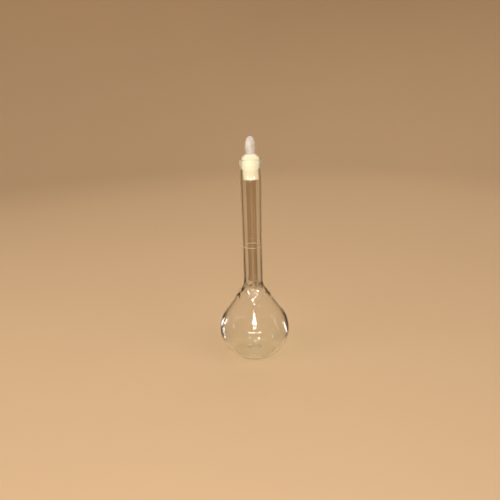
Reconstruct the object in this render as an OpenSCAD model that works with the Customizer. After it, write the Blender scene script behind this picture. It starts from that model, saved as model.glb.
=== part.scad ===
// Volumetric flask, 100 ml, with a solid glass stopper in a ground socket.
// The foot stands on the plane z = 0 and the axis of the flask is the Z axis.
// Everything round is turned about that axis. The grip of the stopper is a lens turned
// about a line parallel to X, so its two broad faces point along +X and -X.

/* [Capacity] */
// Volume held up to the graduation ring, in millilitres
capacity_ml = 100; // [97:0.5:101]

/* [Bulb] */
// Outside diameter of the bulb at its widest
bulb_d = 60; // [59.7:0.1:60.2]
// Height of the widest part of the bulb above the foot
equator_z = 21.7; // [21.2:0.1:22.4]
// Radius of the curve below the widest part
lower_r = 24.2; // [23.6:0.1:25]
// Radius of the curve above the widest part
shoulder_r = 31; // [30:0.5:33]
// Angle through which the shoulder curve turns inward, in degrees
shoulder_turn = 34.5; // [34:0.5:37]
// Thickness of the glass in the bulb and the neck
wall = 1.6; // [1.5:0.05:1.65]

/* [Foot] */
// Radius of the rounded heel between the foot and the bulb
heel_r = 5; // [4:0.5:6]
// Radius of the hollow pressed up into the underside
punt_r = 11; // [9:0.5:13]
// Height of that hollow
punt_h = 2.2; // [1:0.1:3]
// Thickness of the glass under the liquid
base_t = 2.4; // [2:0.1:3]

/* [Neck] */
// Outside diameter of the neck, from the bulb to above the ring
neck_d = 16.5; // [16.3:0.1:16.8]
// Outside diameter of the neck just under the throat
neck_top_d = 17.6; // [17.4:0.1:18]
// Radius of the hollow curve where the bulb runs into the neck
junction_r = 8.5; // [7.5:0.5:10]
// Straight length of neck above the ring, before it starts to widen
straight_above_ring = 8; // [4:1:14]

/* [Mouth] */
// Height of the rim above the foot
rim_z = 171; // [168:1:176]
// Outside diameter of the thickened lip
lip_d = 18.3; // [18.1:0.1:18.8]
// Height of the thick bead that forms the lip
lip_h = 3.4; // [2.6:0.2:4.2]
// Outside diameter of the throat between the lip and the neck
throat_d = 16.2; // [16.1:0.1:16.8]
// Depth of the ground socket below the rim, down to the throat
socket_depth = 8; // [7.5:0.25:8.5]
// Gap between the ground faces, measured on the radius
socket_gap = 0.03; // [0.02:0.01:0.08]

/* [Stopper] */
// Diameter of the ground plug at the level of the rim
plug_d = 13.8; // [13.6:0.1:14.1]
// Length of the plug below the rim
plug_len = 16.5; // [15:0.5:18]
// Change of diameter of the ground faces per millimetre of height
taper = 0.1; // [0.08:0.01:0.12]
// Height of the polished collar above the rim, below the waist
collar_h = 1; // [0.5:0.1:1.5]
// Diameter of the waist between the collar and the grip
waist_d = 7; // [6.4:0.1:7.6]
// Diameter of the round, lens-shaped grip
grip_d = 15; // [14:0.5:17]
// Thickness of the grip at its middle
grip_t = 8; // [7.6:0.1:8.6]
// Height of the middle of the grip above the rim
grip_rise = 10.5; // [10:0.1:11.5]

/* [Graduation ring] */
// Width of the etched ring
ring_w = 0.4; // [0.3:0.1:0.8]
// Depth of the ring below the surface of the neck
ring_depth = 0.1; // [0.06:0.02:0.2]

/* [Hidden] */
$fn = 96;

// Largest turn between two neighbouring points of a curve, in degrees
curve_step = 3.5;
// Points along an S-shaped blend
blend_steps = 8;
// Steps round half of the grip's elliptical section
grip_steps = 28;

bulb_r = bulb_d / 2;
neck_r = neck_d / 2;
neck_top_r = neck_top_d / 2;
lip_r = lip_d / 2;
bore_r = neck_r - wall;
bore_top_r = neck_top_r - wall;

// Centre of the curve below the widest part
lower_x = bulb_r - lower_r;
// Centre of the curve above it
shoulder_x = bulb_r - shoulder_r;
// End of the shoulder curve, where the side of the bulb runs straight
side_x = shoulder_x + shoulder_r * cos(shoulder_turn);
side_z = equator_z + shoulder_r * sin(shoulder_turn);
// Centre of the hollow curve into the neck, touching both the straight side and the neck
junction_x = neck_r + junction_r;
junction_z = side_z + (junction_r - cos(shoulder_turn) * (junction_x - side_x)) / sin(shoulder_turn);

// The heel inside the bulb is tighter than the one outside
inner_heel_r = heel_r - 1;

lip_z = rim_z - lip_h;
throat_r = throat_d / 2;
throat_z = rim_z - socket_depth;
neck_top_z = rim_z - 14.5;
rim_round = 1.1;
mouth_round = 0.4;

plug_z = rim_z - plug_len;
plug_chamfer = 0.4;
collar_z = rim_z + collar_h;
waist_rise = 3;
grip_z = rim_z + grip_rise;
// The waist tapers upward until it is lost inside the grip
waist_end_r = grip_t / 2 - 0.5;
waist_end_z = grip_z - 2;

// ---- curves -------------------------------------------------------------------

// Points along an arc, leaving out its first one, so arcs can be chained
function arc(centre, r, from, to) =
    let (n = max(2, ceil(abs(to - from) / curve_step)))
    [for (i = [1 : n]) let (a = from + (to - from) * i / n)
        [centre[0] + r * cos(a), centre[1] + r * sin(a)]];

// S-shaped line from p to q that runs upright at both ends, leaving out p
function blend(p, q) =
    [for (i = [1 : blend_steps]) let (t = i / blend_steps)
        [p[0] + (q[0] - p[0]) * t * t * (3 - 2 * t), p[1] + (q[1] - p[1]) * t]];

// Hollow dome over the axis, level at its top and at its edge
function dome(edge_r, edge_z, rise) =
    [for (i = [0 : blend_steps]) let (t = i / blend_steps)
        [edge_r * t, edge_z + rise * (1 + cos(180 * t)) / 2]];

function reversed(points) = [for (i = [len(points) - 1 : -1 : 0]) points[i]];

// Radius of the ground plug at a height
function plug_radius(z) = plug_d / 2 + (z - rim_z) * taper / 2;
function socket_radius(z) = plug_radius(z) + socket_gap;

// Distance of the middle of the heel from the axis, for a skin set in by depth
function heel_x(depth, floor_z, r) =
    lower_x + sqrt(pow(lower_r - depth - r, 2) - pow(equator_z - floor_z - r, 2));

// Side of the bulb from the floor to the neck, set in by depth from the outside
function bulb_side(depth, floor_z, r) =
    let (x = heel_x(depth, floor_z, r))
    let (heel_end = atan2(floor_z + r - equator_z, x - lower_x))
    concat(
        [[x, floor_z]],
        arc([x, floor_z + r], r, -90, heel_end),
        arc([lower_x, equator_z], lower_r - depth, heel_end, 0),
        arc([shoulder_x, equator_z], shoulder_r - depth, 0, shoulder_turn),
        arc([junction_x, junction_z], junction_r + depth, 180 + shoulder_turn, 180)
    );

// ---- capacity -----------------------------------------------------------------

// The inside of the bulb, from the middle of the floor to the start of the bore
cavity = concat(
    dome(punt_r, base_t, punt_h),
    bulb_side(wall, base_t, inner_heel_r)
);

// Volume between two points of the cavity, turned about the axis, as a slice of a cone
function slice_volume(p, q) =
    PI / 3 * (q[1] - p[1]) * (p[0] * p[0] + p[0] * q[0] + q[0] * q[0]);

function volume_from(points, i) =
    i >= len(points) - 1 ? 0 : slice_volume(points[i], points[i + 1]) + volume_from(points, i + 1);

bulb_volume = volume_from(cavity, 0);

// The ring stands where the liquid below it is exactly the capacity
ring_z = junction_z + (capacity_ml * 1000 - bulb_volume) / (PI * bore_r * bore_r);
widening_z = ring_z + straight_above_ring;

// ---- outlines -----------------------------------------------------------------

groove = [
    [neck_r, ring_z - ring_w / 2],
    [neck_r - ring_depth, ring_z - ring_w / 2],
    [neck_r - ring_depth, ring_z + ring_w / 2],
    [neck_r, ring_z + ring_w / 2]
];

outside = concat(
    dome(punt_r, 0, punt_h),
    bulb_side(0, 0, heel_r),
    groove,
    [[neck_r, widening_z], [neck_top_r, neck_top_z]],
    blend([neck_top_r, neck_top_z], [throat_r, throat_z]),
    blend([throat_r, throat_z], [lip_r, lip_z]),
    [[lip_r, rim_z - rim_round]],
    arc([lip_r - rim_round, rim_z - rim_round], rim_round, 0, 90)
);

mouth = concat(
    [[socket_radius(rim_z - mouth_round) + mouth_round, rim_z]],
    arc([socket_radius(rim_z - mouth_round) + mouth_round, rim_z - mouth_round], mouth_round, 90, 180),
    [[socket_radius(throat_z), throat_z]],
    blend([socket_radius(throat_z), throat_z], [bore_top_r, neck_top_z]),
    [[bore_r, widening_z]]
);

// ---- pieces -------------------------------------------------------------------

// The blown vessel: bulb, neck and lip are one piece of glass
module flask_body() {
    color([0.80, 0.90, 0.88, 0.35])
        rotate_extrude()
            polygon(concat(outside, mouth, reversed(cavity)));
}

// The etched line that fills its groove in the neck
module graduation_ring() {
    color([0.95, 0.94, 0.90, 0.9])
        rotate_extrude()
            translate([neck_r - ring_depth, ring_z - ring_w / 2])
                square([ring_depth, ring_w]);
}

// Ground plug, polished collar and waist, turned about the axis
module plug_and_waist() {
    rotate_extrude()
        polygon(concat(
            [[0, plug_z]],
            [[plug_radius(plug_z) - plug_chamfer, plug_z]],
            [[plug_radius(plug_z + plug_chamfer), plug_z + plug_chamfer]],
            [[plug_radius(collar_z), collar_z]],
            blend([plug_radius(collar_z), collar_z], [waist_d / 2, collar_z + waist_rise]),
            [[waist_end_r, waist_end_z]],
            [[0, waist_end_z]]
        ));
}

// Round grip whose section is an ellipse, thick in the middle and thin at its rim
module grip() {
    translate([0, 0, grip_z])
        rotate([0, 90, 0])
            rotate_extrude()
                polygon([for (i = [0 : grip_steps]) let (a = 180 * i / grip_steps - 90)
                    [grip_d / 2 * cos(a), grip_t / 2 * sin(a)]]);
}

// The stopper is one piece of solid glass
module stopper() {
    color([0.93, 0.92, 0.86, 0.8])
        union() {
            plug_and_waist();
            grip();
        }
}

flask_body();
graduation_ring();
stopper();
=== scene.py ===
"""Looks of the stoppered volumetric flask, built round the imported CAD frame. Metres throughout."""

import math

import bmesh
import bpy
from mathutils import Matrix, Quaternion, Vector, noise


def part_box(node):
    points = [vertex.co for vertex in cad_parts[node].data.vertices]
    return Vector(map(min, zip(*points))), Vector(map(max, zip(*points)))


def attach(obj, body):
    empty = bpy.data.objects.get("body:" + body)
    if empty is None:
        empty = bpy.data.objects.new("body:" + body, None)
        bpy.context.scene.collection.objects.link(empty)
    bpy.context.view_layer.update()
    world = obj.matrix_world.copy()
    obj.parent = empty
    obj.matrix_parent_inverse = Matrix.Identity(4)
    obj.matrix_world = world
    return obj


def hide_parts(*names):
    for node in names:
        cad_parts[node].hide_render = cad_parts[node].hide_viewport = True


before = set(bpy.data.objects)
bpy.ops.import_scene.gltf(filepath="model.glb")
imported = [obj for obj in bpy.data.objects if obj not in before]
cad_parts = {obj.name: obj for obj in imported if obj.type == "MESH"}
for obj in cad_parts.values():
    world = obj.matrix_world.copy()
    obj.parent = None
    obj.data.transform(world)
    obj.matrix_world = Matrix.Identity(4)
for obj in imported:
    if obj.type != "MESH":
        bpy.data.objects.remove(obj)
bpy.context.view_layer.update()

MM = 0.001
TURNS = 144                     # facets round the axis of a turned piece
STEP = 1.5 * MM                 # longest step along an outline
CORNER = math.radians(14)       # a sharper turn than this in an outline is a real edge
SHARP = math.radians(28)        # faces that meet more sharply than this keep a crisp edge

# ---- what the frame says ---------------------------------------------------------

flask_low, flask_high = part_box("flask_body")
ring_low, ring_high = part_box("graduation_ring")
stopper_low, stopper_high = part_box("stopper")

rim_z = flask_high.z
bulb_r = flask_high.x
neck_r = ring_high.x
plug_z = stopper_low.z

# The stopper's own make-up, which its box doesn't give
TAPER = 0.1                     # change of the plug's diameter per unit of height
COLLAR_H = 1.0 * MM             # polished collar between the rim and the waist
WAIST_R = 3.5 * MM
WAIST_RISE = 3.0 * MM           # height over which the collar draws in to the waist
GRIP_T = 8.0 * MM               # thickness of the lens-shaped grip at its middle
WAIST_END_R = GRIP_T / 2 - 0.5 * MM
FILLET = 1.2 * MM               # how softly the waist runs into the grip
CHAMFER = 0.4 * MM              # at the plug's lower end
grip_r = stopper_high.y
grip_z = stopper_high.z - grip_r
collar_z = rim_z + COLLAR_H
collar_r = stopper_high.x
waist_z = collar_z + WAIST_RISE
waist_end_z = grip_z - 2 * MM


# ---- outlines --------------------------------------------------------------------

def meridian(node):
    """Outline of a turned CAD node in the half plane y = 0, x > 0, from its lowest end on the axis."""
    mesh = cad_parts[node].data
    on_seam = {
        v.index: (round(v.co.x, 7), round(v.co.z, 7))
        for v in mesh.vertices
        if abs(v.co.y) < 1e-7 and v.co.x > -1e-7
    }
    links = {}
    for edge in mesh.edges:
        a, b = (on_seam.get(i) for i in edge.vertices)
        if a and b and a != b:
            links.setdefault(a, set()).add(b)
            links.setdefault(b, set()).add(a)
    ends = [p for p in links if len(links[p]) == 1]
    path = [min(ends, key=lambda p: p[1])]
    while True:
        ahead = [p for p in links[path[-1]] if p not in path[-2:]]
        if not ahead:
            return [Vector(p) for p in path]
        path.append(ahead[0])


def turn_angle(a, b, c):
    return (b - a).angle(c - b, 0.0)


def catmull(a, b, c, d, t):
    return 0.5 * (
        2 * b + (c - a) * t + (2 * a - 5 * b + 4 * c - d) * t * t
        + (3 * b - a - 3 * c + d) * t * t * t
    )


def smooth_outline(path):
    """The outline with its arcs made finer and its real corners kept."""
    last = len(path) - 1
    corner = [
        i in (0, last) or turn_angle(path[i - 1], path[i], path[i + 1]) > CORNER
        for i in range(len(path))
    ]
    fine = []
    for i in range(last):
        b, c = path[i], path[i + 1]
        a = b - (c - b) if corner[i] else path[i - 1]
        d = c + (c - b) if corner[i + 1] else path[i + 2]
        # a long straight side next to a short arc step must not swing the curve
        span = (c - b).length
        a = b + (a - b).normalized() * min((a - b).length, span)
        d = c + (d - c).normalized() * min((d - c).length, span)
        parts = max(2, math.ceil(span / STEP)) if span > 0.25 * MM else 1
        fine += [catmull(a, b, c, d, k / parts) for k in range(parts)]
    return fine + [path[-1]]


# ---- meshes ----------------------------------------------------------------------

def add_object(name, bm, *materials):
    mesh = bpy.data.meshes.new(name)
    bm.to_mesh(mesh)
    bm.free()
    mesh.polygons.foreach_set("use_smooth", [True] * len(mesh.polygons))
    mesh.set_sharp_from_angle(angle=SHARP)
    for material in materials:
        mesh.materials.append(material)
    obj = bpy.data.objects.new(name, mesh)
    bpy.context.scene.collection.objects.link(obj)
    return obj


def skin_rings(bm, rings, closed=False):
    """Faces between neighbouring rings; a ring of one vertex is a pole."""
    pairs = list(zip(rings, rings[1:]))
    if closed:
        pairs.append((rings[-1], rings[0]))
    bands = []
    for low, high in pairs:
        band = []
        count = max(len(low), len(high))
        for k in range(count):
            n = (k + 1) % count
            corners = [low[k % len(low)], low[n % len(low)], high[n % len(high)], high[k % len(high)]]
            band.append(bm.faces.new(list(dict.fromkeys(corners))))
        bands.append(band)
    return bands


def turned(bm, outline, shift=None, closed=False):
    """Rings of vertices round the axis, one for each outline point, and the faces between them."""
    rings = []
    for index, p in enumerate(outline):
        if p.x < 1e-6:
            rings.append([bm.verts.new((0, 0, p.y))])
            continue
        ring = []
        for k in range(TURNS):
            a = 2 * math.pi * k / TURNS
            spot = Vector((p.x * math.cos(a), p.x * math.sin(a), p.y))
            ring.append(bm.verts.new(spot + shift(index, spot) if shift else spot))
        rings.append(ring)
    return skin_rings(bm, rings, closed)


# ---- colours and finishes --------------------------------------------------------

IOR = 1.48
CLEAR_TINT = (0.972, 0.978, 0.962, 1.0)
GRIP_TINT = (0.99, 0.985, 0.96, 1.0)
SOCKET_TINT = (0.97, 0.90, 0.70, 1.0)
# the plug's ground glass is tinted darker than the socket's: painted shade, so the brightly lit plug
# reads no brighter than the socket round it
PLUG_TINT_WITH_PAINTED_SHADE = (0.90, 0.81, 0.59, 1.0)
RING_TINT = (0.93, 0.9, 0.82, 1.0)
FLOOR_COLOUR = (0.46, 0.31, 0.18, 1.0)
FLAG_COLOUR = (0.09, 0.065, 0.04, 1.0)
HIGH_FLAG_COLOUR = (0.24, 0.16, 0.09, 1.0)
NECK_SHADE_COLOUR = (0.27, 0.165, 0.085, 1.0)

# How much light each glass lets through to what stands behind it
CLEAR_SHADE = (0.93, 0.95, 0.93, 1.0)
GRIP_SHADE = (0.88, 0.88, 0.85, 1.0)
SOCKET_SHADE = (0.85, 0.83, 0.76, 1.0)
PLUG_SHADE = (0.6, 0.58, 0.52, 1.0)
RING_SHADE = (0.7, 0.68, 0.62, 1.0)

# Fineness of the noise behind each detail, in features per metre
SMEARS = 90
WAVES = 55
RIPPLES = 380
FROST = 2600
SCRATCHES = 420
PATCHES = 240
FLOOR_GRAIN = 900
FLOOR_DRIFT = 3.0

# Ripples left where the neck was drawn from the bulb, and faintly round the widest part:
# the heights between which they lie, how softly they fade, and how far they tilt the surface
TOOLED = ((54 * MM, 66 * MM, 4 * MM, 0.8), (16 * MM, 26 * MM, 5 * MM, 0.08))


# ---- materials -------------------------------------------------------------------

def node_graph(name):
    material = bpy.data.materials.new(name)
    material.use_nodes = True
    tree = material.node_tree
    tree.nodes.clear()
    return material, tree


def add_node(tree, kind, inputs=None, **settings):
    node = tree.nodes.new(kind)
    for key, value in settings.items():
        setattr(node, key, value)
    for key, value in (inputs or {}).items():
        if isinstance(value, bpy.types.NodeSocket):
            tree.links.new(value, node.inputs[key])
        else:
            node.inputs[key].default_value = value
    return node


def object_noise(tree, scale, stretch=(1, 1, 1), detail=2.0, output="Fac"):
    """Noise in object space; stretch squeezes the pattern along an axis. Color gives a vector of it."""
    coords = add_node(tree, "ShaderNodeTexCoord")
    mapped = add_node(tree, "ShaderNodeMapping", {"Vector": coords.outputs["Object"], "Scale": stretch})
    return add_node(
        tree, "ShaderNodeTexNoise", {"Vector": mapped.outputs[0], "Scale": scale, "Detail": detail}
    ).outputs[output]


def map_range(tree, value, low, high, start=0.0, end=1.0):
    return add_node(
        tree, "ShaderNodeMapRange",
        {"Value": value, "From Min": start, "From Max": end, "To Min": low, "To Max": high},
    ).outputs["Result"]


def mix_colour(tree, share, first, second):
    mixer = add_node(tree, "ShaderNodeMix", {0: share}, data_type="RGBA")
    mixer.inputs[6].default_value = first
    mixer.inputs[7].default_value = second
    return mixer.outputs[2]


def glass_output(tree, shader, shade):
    """Glass that lets light through to what stands behind it instead of casting a solid shadow."""
    path = add_node(tree, "ShaderNodeLightPath")
    clear = add_node(tree, "ShaderNodeBsdfTransparent", {"Color": shade})
    mix = add_node(
        tree, "ShaderNodeMixShader",
        {0: path.outputs["Is Shadow Ray"], 1: shader.outputs[0], 2: clear.outputs[0]},
    )
    add_node(tree, "ShaderNodeOutputMaterial", {"Surface": mix.outputs[0]})


def height_band(tree, low, high, soft):
    """One between two heights of the object and none beyond them."""
    coords = add_node(tree, "ShaderNodeTexCoord")
    z = add_node(tree, "ShaderNodeSeparateXYZ", {"Vector": coords.outputs["Object"]}).outputs["Z"]
    rise = map_range(tree, z, 0.0, 1.0, low - soft, low + soft)
    fall = map_range(tree, z, 1.0, 0.0, high - soft, high + soft)
    return add_node(tree, "ShaderNodeMath", {0: rise, 1: fall}, operation="MULTIPLY").outputs[0]


def polished_glass(name, tint, shade, clearness=1.0, haze=0.0, tooled=()):
    """Clear blown glass: faint smears in its gloss, slow waves that bend its reflections,
    and fine ripples in the bands of height where it was worked with a tool."""
    material, tree = node_graph(name)
    smears = object_noise(tree, SMEARS, (1, 1, 0.4), 3.0)
    waves = object_noise(tree, WAVES, (1, 1, 0.35), 1.0)
    bump = add_node(tree, "ShaderNodeBump", {"Height": waves, "Strength": 0.25, "Distance": 0.4 * MM})
    normal = bump.outputs[0]
    for low, high, soft, tilt in tooled:
        ripples = object_noise(tree, RIPPLES, detail=0.0, output="Color")
        lean = add_node(
            tree, "ShaderNodeVectorMath", {0: ripples, 1: (0.5, 0.5, 0.5)}, operation="SUBTRACT"
        )
        band = height_band(tree, low, high, soft)
        amount = add_node(tree, "ShaderNodeMath", {0: band, 1: tilt}, operation="MULTIPLY").outputs[0]
        lean = add_node(
            tree, "ShaderNodeVectorMath", {0: lean.outputs[0], "Scale": amount}, operation="SCALE"
        )
        normal = add_node(
            tree, "ShaderNodeVectorMath", {0: normal, 1: lean.outputs[0]}, operation="ADD"
        ).outputs[0]
    if tooled:
        normal = add_node(tree, "ShaderNodeVectorMath", {0: normal}, operation="NORMALIZE").outputs[0]
    shader = add_node(
        tree, "ShaderNodeBsdfPrincipled",
        {
            "Base Color": tint,
            "Roughness": map_range(tree, smears, haze, haze + 0.03, 0.45, 0.75),
            "IOR": IOR,
            "Transmission Weight": clearness,
            "Normal": normal,
        },
    )
    glass_output(tree, shader, shade)
    return material


def ground_glass(name, tint, shade, roughness, clearness):
    """Matt ground glass: a fine frost with the faint level scratches that grinding leaves."""
    material, tree = node_graph(name)
    frost = object_noise(tree, FROST, detail=3.0)
    scratches = object_noise(tree, SCRATCHES, (0.15, 0.15, 5.0), 2.0)
    patches = object_noise(tree, PATCHES, (1, 1, 1.6), 2.0)
    fine = add_node(tree, "ShaderNodeBump", {"Height": frost, "Strength": 0.5, "Distance": 0.04 * MM})
    bump = add_node(
        tree, "ShaderNodeBump",
        {"Height": scratches, "Strength": 0.4, "Distance": 0.05 * MM, "Normal": fine.outputs[0]},
    )
    worn = [channel * 0.9 for channel in tint[:3]] + [1.0]
    colour = mix_colour(tree, map_range(tree, patches, 0.0, 1.0, 0.35, 0.7), tint, worn)
    shader = add_node(
        tree, "ShaderNodeBsdfPrincipled",
        {
            "Base Color": colour,
            "Roughness": map_range(tree, scratches, roughness - 0.08, roughness + 0.08, 0.3, 0.7),
            "IOR": IOR,
            "Transmission Weight": clearness,
            "Normal": bump.outputs[0],
        },
    )
    glass_output(tree, shader, shade)
    return material


def stage_material():
    material, tree = node_graph("studio_floor")
    grain = object_noise(tree, FLOOR_GRAIN, detail=3.0)
    drift = object_noise(tree, FLOOR_DRIFT, detail=1.0)
    bump = add_node(tree, "ShaderNodeBump", {"Height": grain, "Strength": 0.15, "Distance": 0.3 * MM})
    paler = [0.95 * channel for channel in FLOOR_COLOUR[:3]] + [1.0]
    shader = add_node(
        tree, "ShaderNodeBsdfPrincipled",
        {
            "Base Color": mix_colour(tree, drift, FLOOR_COLOUR, paler),
            "Roughness": 0.85,
            "Specular IOR Level": 0.0,
            "Normal": bump.outputs[0],
        },
    )
    add_node(tree, "ShaderNodeOutputMaterial", {"Surface": shader.outputs[0]})
    return material


clear = polished_glass("clear_glass", CLEAR_TINT, CLEAR_SHADE, tooled=TOOLED)
stopper_clear = polished_glass("stopper_glass", GRIP_TINT, GRIP_SHADE, clearness=0.8, haze=0.04)
socket_ground = ground_glass("ground_socket", SOCKET_TINT, SOCKET_SHADE, roughness=0.5, clearness=0.5)
# the plug's darker tint is painted shade
plug_ground = ground_glass("ground_plug", PLUG_TINT_WITH_PAINTED_SHADE, PLUG_SHADE, roughness=0.55, clearness=0.5)
etched = ground_glass("etched_ring", RING_TINT, RING_SHADE, roughness=0.35, clearness=0.92)


# ---- the flask -------------------------------------------------------------------

def glass_drift(spot, size, seed):
    """Slow unevenness of hand-worked glass, between -1 and 1."""
    return noise.noise(spot * (1 / size) + Vector((seed, 0, 0)))


def build_flask():
    outline = [
        Vector((min(p.x, bulb_r), max(p.y, 0.0))) for p in smooth_outline(meridian("flask_body"))
    ]
    top = max(range(len(outline)), key=lambda i: outline[i].y)
    # the ground socket ends where the mouth, which is this deep, is tightest
    mouth_depth = 16 * MM
    mouth = [i for i in range(top, len(outline)) if outline[i].y > rim_z - mouth_depth]
    socket_end = min(mouth, key=lambda i: outline[i].x)
    # below it the inside grows uneven over this many steps of the outline
    even_until, fade, unevenness = socket_end + 8, 12, 0.006

    def shift(index, spot):
        """Only the inside below the socket is uneven, so the outside keeps its true shape."""
        if index <= even_until:
            return Vector()
        out = Vector((spot.x, spot.y, 0))
        reach = min(1.0, (index - even_until) / fade)
        return out * (unevenness * reach * glass_drift(spot, 14 * MM, 3.7))

    bm = bmesh.new()
    bands = turned(bm, outline, shift)
    for index, band in enumerate(bands):
        ground = top < index < socket_end
        for face in band:
            face.material_index = 1 if ground else 0
    bmesh.ops.recalc_face_normals(bm, faces=bm.faces)
    flask = add_object("flask_glass", bm, clear, socket_ground)
    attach(flask, "flask")
    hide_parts("flask_body")


def build_ring():
    """The etched line, lying in its groove with its outer face level with the neck."""
    inset, depth = 0.01 * MM, 0.1 * MM
    x0, x1 = neck_r - depth + inset, neck_r - inset
    z0, z1 = ring_low.z + inset, ring_high.z - inset
    bm = bmesh.new()
    turned(bm, [Vector((x0, z0)), Vector((x1, z0)), Vector((x1, z1)), Vector((x0, z1))], closed=True)
    bmesh.ops.recalc_face_normals(bm, faces=bm.faces)
    ring = add_object("etched_capacity_ring", bm, etched)
    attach(ring, "flask")
    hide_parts("graduation_ring")


# ---- the stopper -----------------------------------------------------------------

def smooth_step(t):
    t = min(1.0, max(0.0, t))
    return t * t * (3 - 2 * t)


def smooth_min(a, b, width):
    h = max(width - abs(a - b), 0.0) / width
    return min(a, b) - h * h * width / 4


def stem_radius(z):
    """Radius of the plug, the collar and the waist, which are round."""
    if z <= collar_z:
        return collar_r - (collar_z - z) * TAPER / 2
    if z <= waist_z:
        return collar_r + (WAIST_R - collar_r) * smooth_step((z - collar_z) / WAIST_RISE)
    return WAIST_R + (WAIST_END_R - WAIST_R) * (z - waist_z) / (waist_end_z - waist_z)


def stem_distance(x, y, z):
    return max(math.hypot(x, y) - stem_radius(z), z - waist_end_z)


def grip_distance(x, y, z):
    """Roughly the distance to the lens-shaped grip, negative inside it."""
    across = x / (GRIP_T / 2)
    out = math.hypot(y, z - grip_z) / grip_r
    reach = math.hypot(across, out)
    steepness = math.hypot(across / (GRIP_T / 2), out / grip_r)
    return reach * (reach - 1) / steepness if steepness else -GRIP_T / 2


def stopper_distance(x, y, z):
    if z <= collar_z:
        return stem_distance(x, y, z)
    return smooth_min(stem_distance(x, y, z), grip_distance(x, y, z), FILLET)


def stopper_reach(angle, z):
    """How far the stopper reaches from its axis at an angle and a height, found by halving."""
    c, s = math.cos(angle), math.sin(angle)
    near, far, halvings = 0.0, 1.2 * grip_r, 24
    for _ in range(halvings):
        middle = (near + far) / 2
        if stopper_distance(middle * c, middle * s, z) < 0:
            near = middle
        else:
            far = middle
    return near


def stopper_levels():
    """Heights of the sections above the plug's chamfer, close together where the outline bends."""
    plug_steps, waist_steps, arc_steps = 26, 28, 60
    plug_top = plug_z + CHAMFER
    levels = [plug_top + (collar_z - plug_top) * k / plug_steps for k in range(plug_steps + 1)]
    arc_start = math.radians(30)
    base = grip_z - grip_r * math.cos(arc_start)
    levels += [collar_z + (base - collar_z) * k / waist_steps for k in range(1, waist_steps + 1)]
    levels += [
        grip_z - grip_r * math.cos(arc_start + (math.pi - arc_start) * k / arc_steps)
        for k in range(1, arc_steps)
    ]
    return levels


def plug_foot():
    """Radius and height of each ring of the plug's slightly hollow end and its rounded chamfer."""
    foot_r = stem_radius(plug_z) - CHAMFER
    hollow = 0.15 * MM
    rings = [(foot_r * share, plug_z + hollow * (1 - share ** 4)) for share in (0.35, 0.7, 0.9, 1.0)]
    steps = 5
    for k in range(1, steps):
        a = math.radians(90 * k / steps)
        rings.append((foot_r + CHAMFER * math.sin(a), plug_z + CHAMFER * (1 - math.cos(a))))
    return hollow, rings


def build_stopper():
    bm = bmesh.new()
    angles = [2 * math.pi * k / TURNS for k in range(TURNS)]
    hollow, foot = plug_foot()
    rings = [[bm.verts.new((0, 0, plug_z + hollow))]]
    for r, z in foot:
        rings.append([bm.verts.new((r * math.cos(a), r * math.sin(a), z)) for a in angles])
    for z in stopper_levels():
        reach = [stopper_reach(a, z) for a in angles]
        rings.append(
            [bm.verts.new((r * math.cos(a), r * math.sin(a), z)) for r, a in zip(reach, angles)]
        )
    rings.append([bm.verts.new((0, 0, stopper_high.z))])
    for band in skin_rings(bm, rings):
        height = band[0].calc_center_median().z
        ground = plug_z + 0.1 * MM < height < rim_z + 0.2 * MM
        for face in band:
            face.material_index = 1 if ground else 0
    # the grip was pressed while soft, so its surface is slightly uneven
    for vert in bm.verts:
        loose = smooth_step((vert.co.z - collar_z) / (4 * MM))
        if loose:
            push = glass_drift(vert.co, 4 * MM, 11.3)
            vert.co.x *= 1 - 0.018 * loose * (1 + push)
            vert.co.y *= 1 - 0.008 * loose * (1 + push)
    bmesh.ops.recalc_face_normals(bm, faces=bm.faces)
    stopper = add_object("stopper_glass", bm, stopper_clear, plug_ground)
    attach(stopper, "stopper")
    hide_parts("stopper")


# ---- studio ----------------------------------------------------------------------

def build_stage():
    """A round floor that sweeps up into a low wall on every side."""
    floor_r, sweep_r, wall_h = 0.9, 0.5, 0.9
    floor_z = -0.02 * MM        # a hair under the foot, so the two faces never share a plane
    outline = [Vector((0, floor_z)), Vector((floor_r, floor_z))]
    outline += [
        Vector((floor_r + sweep_r * math.sin(a), floor_z + sweep_r - sweep_r * math.cos(a)))
        for a in (math.radians(5 * k) for k in range(1, 19))
    ]
    outline.append(Vector((floor_r + sweep_r, wall_h)))
    bm = bmesh.new()
    turned(bm, outline)
    bmesh.ops.recalc_face_normals(bm, faces=bm.faces)
    stage = add_object("studio_sweep", bm, stage_material())


def build_turntable(camera):
    """An empty whose -Y side always faces the camera, so what rides on it stays put in every view."""
    table = bpy.data.objects.new("card_turntable", None)
    bpy.context.scene.collection.objects.link(table)
    track = table.constraints.new("LOCKED_TRACK")
    track.target = camera
    track.track_axis = "TRACK_NEGATIVE_Y"
    track.lock_axis = "LOCK_Z"
    return table


def studio_card(name, size, spot, facing, table, glow=0.0, colour=FLAG_COLOUR):
    """A card only the glass sees: dark ones give it dark edges, glowing ones give it glints."""
    bm = bmesh.new()
    half_w, half_h = size[0] / 2, size[1] / 2
    signs = ((-1, -1), (1, -1), (1, 1), (-1, 1))
    bm.faces.new([bm.verts.new((x * half_w, y * half_h, 0)) for x, y in signs])
    card = add_object(name, bm, card_material(name, size, glow, colour))
    card.parent = table
    card.location = spot
    card.rotation_mode = "QUATERNION"
    card.rotation_quaternion = Vector(facing).to_track_quat("Z", "Y")
    card.visible_camera = False
    card.visible_diffuse = False
    card.visible_shadow = False


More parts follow.
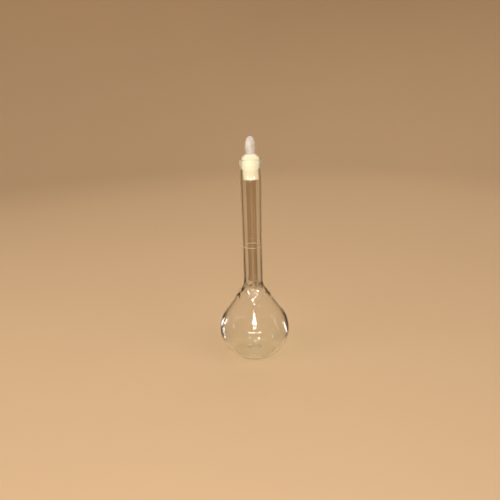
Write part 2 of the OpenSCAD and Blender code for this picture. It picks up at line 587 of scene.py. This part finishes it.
def card_material(name, size, glow, colour):
    """Plain card, or a glowing one that fades from its middle to its edges."""
    material, tree = node_graph(name)
    if glow:
        coords = add_node(tree, "ShaderNodeTexCoord")
        mapped = add_node(
            tree, "ShaderNodeMapping",
            {"Vector": coords.outputs["Object"], "Scale": (2 / size[0], 2 / size[1], 1)},
        )
        fade = add_node(
            tree, "ShaderNodeTexGradient", {"Vector": mapped.outputs[0]}, gradient_type="SPHERICAL"
        )
        strength = map_range(tree, fade.outputs["Fac"], 0.0, glow, 0.0, 0.5)
        shader = add_node(tree, "ShaderNodeEmission", {"Strength": strength})
    else:
        shader = add_node(tree, "ShaderNodeBsdfDiffuse", {"Color": colour})
    add_node(tree, "ShaderNodeOutputMaterial", {"Surface": shader.outputs[0]})
    return material


def glint_card(name, size, turn, lift, reach, table, glow=26.0):
    """A small bright card, placed by its turn and lift in degrees from the lens as the bulb sees it."""
    turn, lift = math.radians(turn), math.radians(lift)
    level = math.cos(lift)
    from_lens = Vector((math.sin(turn) * level, math.sin(lift), math.cos(turn) * level))
    way = Quaternion((1, 0, 0), math.pi / 2 - CAMERA_ELEVATION) @ from_lens
    studio_card(name, size, Vector((0, 0, BULB_Z)) + way * reach, -way, table, glow)


def area_light(name, size, energy, colour, spot, aim, parent=None, seen=False, shape="RECTANGLE"):
    """A soft light; the glass reflects it only if it is to be seen."""
    data = bpy.data.lights.new(name, "AREA")
    data.shape = shape
    data.size, data.size_y = size
    data.energy = energy
    data.color = colour
    light = bpy.data.objects.new(name, data)
    bpy.context.scene.collection.objects.link(light)
    if parent:
        light.parent = parent
    light.location = spot
    light.rotation_mode = "QUATERNION"
    light.rotation_quaternion = (Vector(aim) - Vector(spot)).to_track_quat("-Z", "Y")
    light.visible_glossy = seen
    light.visible_transmission = seen


# The camera of the photograph, as seen from the flask
CAMERA_AZIMUTH = math.radians(11)
CAMERA_ELEVATION = math.radians(18)
CAMERA_ROLL = math.radians(1.55)
CAMERA_DISTANCE = 0.505
AIM_HEIGHT = 0.0940             # height on the axis that lies level with the middle of the picture
AIM_ASIDE = -0.0022             # how far the axis stands to the right of the aim
FOCAL_PER_WIDTH = 1.2
BULB_Z = 0.0217                 # height of the widest part of the bulb


def build_camera():
    data = bpy.data.cameras.new("camera")
    data.sensor_width = 36
    data.lens = 36 * FOCAL_PER_WIDTH
    data.clip_start, data.clip_end = 0.01, 20
    camera = bpy.data.objects.new("camera", data)
    bpy.context.scene.collection.objects.link(camera)
    a, e = CAMERA_AZIMUTH, CAMERA_ELEVATION
    back = Vector((math.sin(a) * math.cos(e), -math.cos(a) * math.cos(e), math.sin(e)))
    right = Vector((math.cos(a), math.sin(a), 0))
    camera.location = right * AIM_ASIDE + Vector((0, 0, AIM_HEIGHT)) + back * CAMERA_DISTANCE
    camera.rotation_mode = "QUATERNION"
    camera.rotation_quaternion = (-back).to_track_quat("-Z", "Y") @ Quaternion((0, 0, 1), -CAMERA_ROLL)
    bpy.context.scene.camera = camera
    return camera


def build_lights(table):
    middle = (0, 0, 0.08)
    area_light("key_softbox", (0.7, 0.7), 14.0, (1.0, 0.97, 0.92), (-0.75, -0.55, 0.95), middle)
    area_light("fill_softbox", (0.9, 0.9), 7.5, (1.0, 0.98, 0.95), (0.85, -0.35, 0.9), middle)
    area_light("back_softbox", (0.8, 0.5), 6.5, (1.0, 0.98, 0.95), (0.1, 0.9, 1.0), middle)
    # a small round lamp stands just above the lens, as the flash does
    area_light(
        "lens_lamp", (0.14, 0.14), 1.1, (1.0, 1.0, 1.0), (0, -0.44, 0.37), middle,
        parent=table, seen=True, shape="DISK",
    )


# Turn and lift of the small bright panes, in degrees from the lens as the bulb sees it
LOW_PANES = ((-14, -19), (2, -27), (12, -22))
SIDE_PANES = ((-94, 14), (-104, -4), (-116, 8), (-100, -18), (96, 4), (106, -6))
HIGH_PANES = ((-24, 42), (24, 42), (-70, 30), (70, 30), (-105, 20), (105, 20))


def build_cards(table):
    # dark flags on both sides and the floor draw the dark outlines, paler along the neck
    for side, name in ((-1, "left"), (1, "right")):
        beside, inward = 0.07 * side, (-side, 0, 0)
        studio_card(f"flag_{name}", (0.47, 0.06), (beside, -0.135, 0.03), inward, table)
        studio_card(
            f"high_flag_{name}", (0.47, 0.24), (beside, -0.135, 0.18), inward, table,
            colour=HIGH_FLAG_COLOUR,
        )
        studio_card(f"low_flag_{name}", (0.25, 0.25), (0.17 * side, 0, 0.001), (0, 0, 1), table)
    # stands in for the flask's shadow on a near wall, seen through the neck
    studio_card(
        "neck_shade", (0.0145, 0.096), (0, 0.03, 0.1), (0, -1, 0), table, colour=NECK_SHADE_COLOUR
    )
    studio_card("card_behind_lens", (2.4, 2.4), (0, -1.0, 0.5), (0, 1, 0), table)
    glint_card("strip_below_lens", (0.9, 0.012), 0, -9, 0.4, table)
    for k, (turn, lift) in enumerate(LOW_PANES):
        glint_card(f"low_pane_{k}", (0.008, 0.004), turn, lift, 0.1, table)
    for k, (turn, lift) in enumerate(SIDE_PANES):
        glint_card(f"pane_{k}", (0.0025, 0.018), turn, lift, 0.06, table)
    for k, (turn, lift) in enumerate(HIGH_PANES):
        glint_card(f"high_pane_{k}", (0.03, 0.02), turn, lift, 0.15, table, glow=60.0)


def build_world():
    world = bpy.data.worlds.new("studio_air")
    world.use_nodes = True
    background = world.node_tree.nodes["Background"].inputs
    background["Color"].default_value = (0.9, 0.85, 0.78, 1.0)
    background["Strength"].default_value = 0.2
    bpy.context.scene.world = world


def set_light_paths():
    """Enough bounces for light to cross both walls of the flask and the stopper."""
    cycles = bpy.context.scene.cycles
    cycles.max_bounces = 32
    cycles.transmission_bounces = 32
    cycles.glossy_bounces = 12
    cycles.transparent_max_bounces = 32
    bpy.context.scene.view_settings.view_transform = "Standard"


build_flask()
build_ring()
build_stopper()
build_stage()
turntable = build_turntable(build_camera())
build_lights(turntable)
build_cards(turntable)
build_world()
set_light_paths()
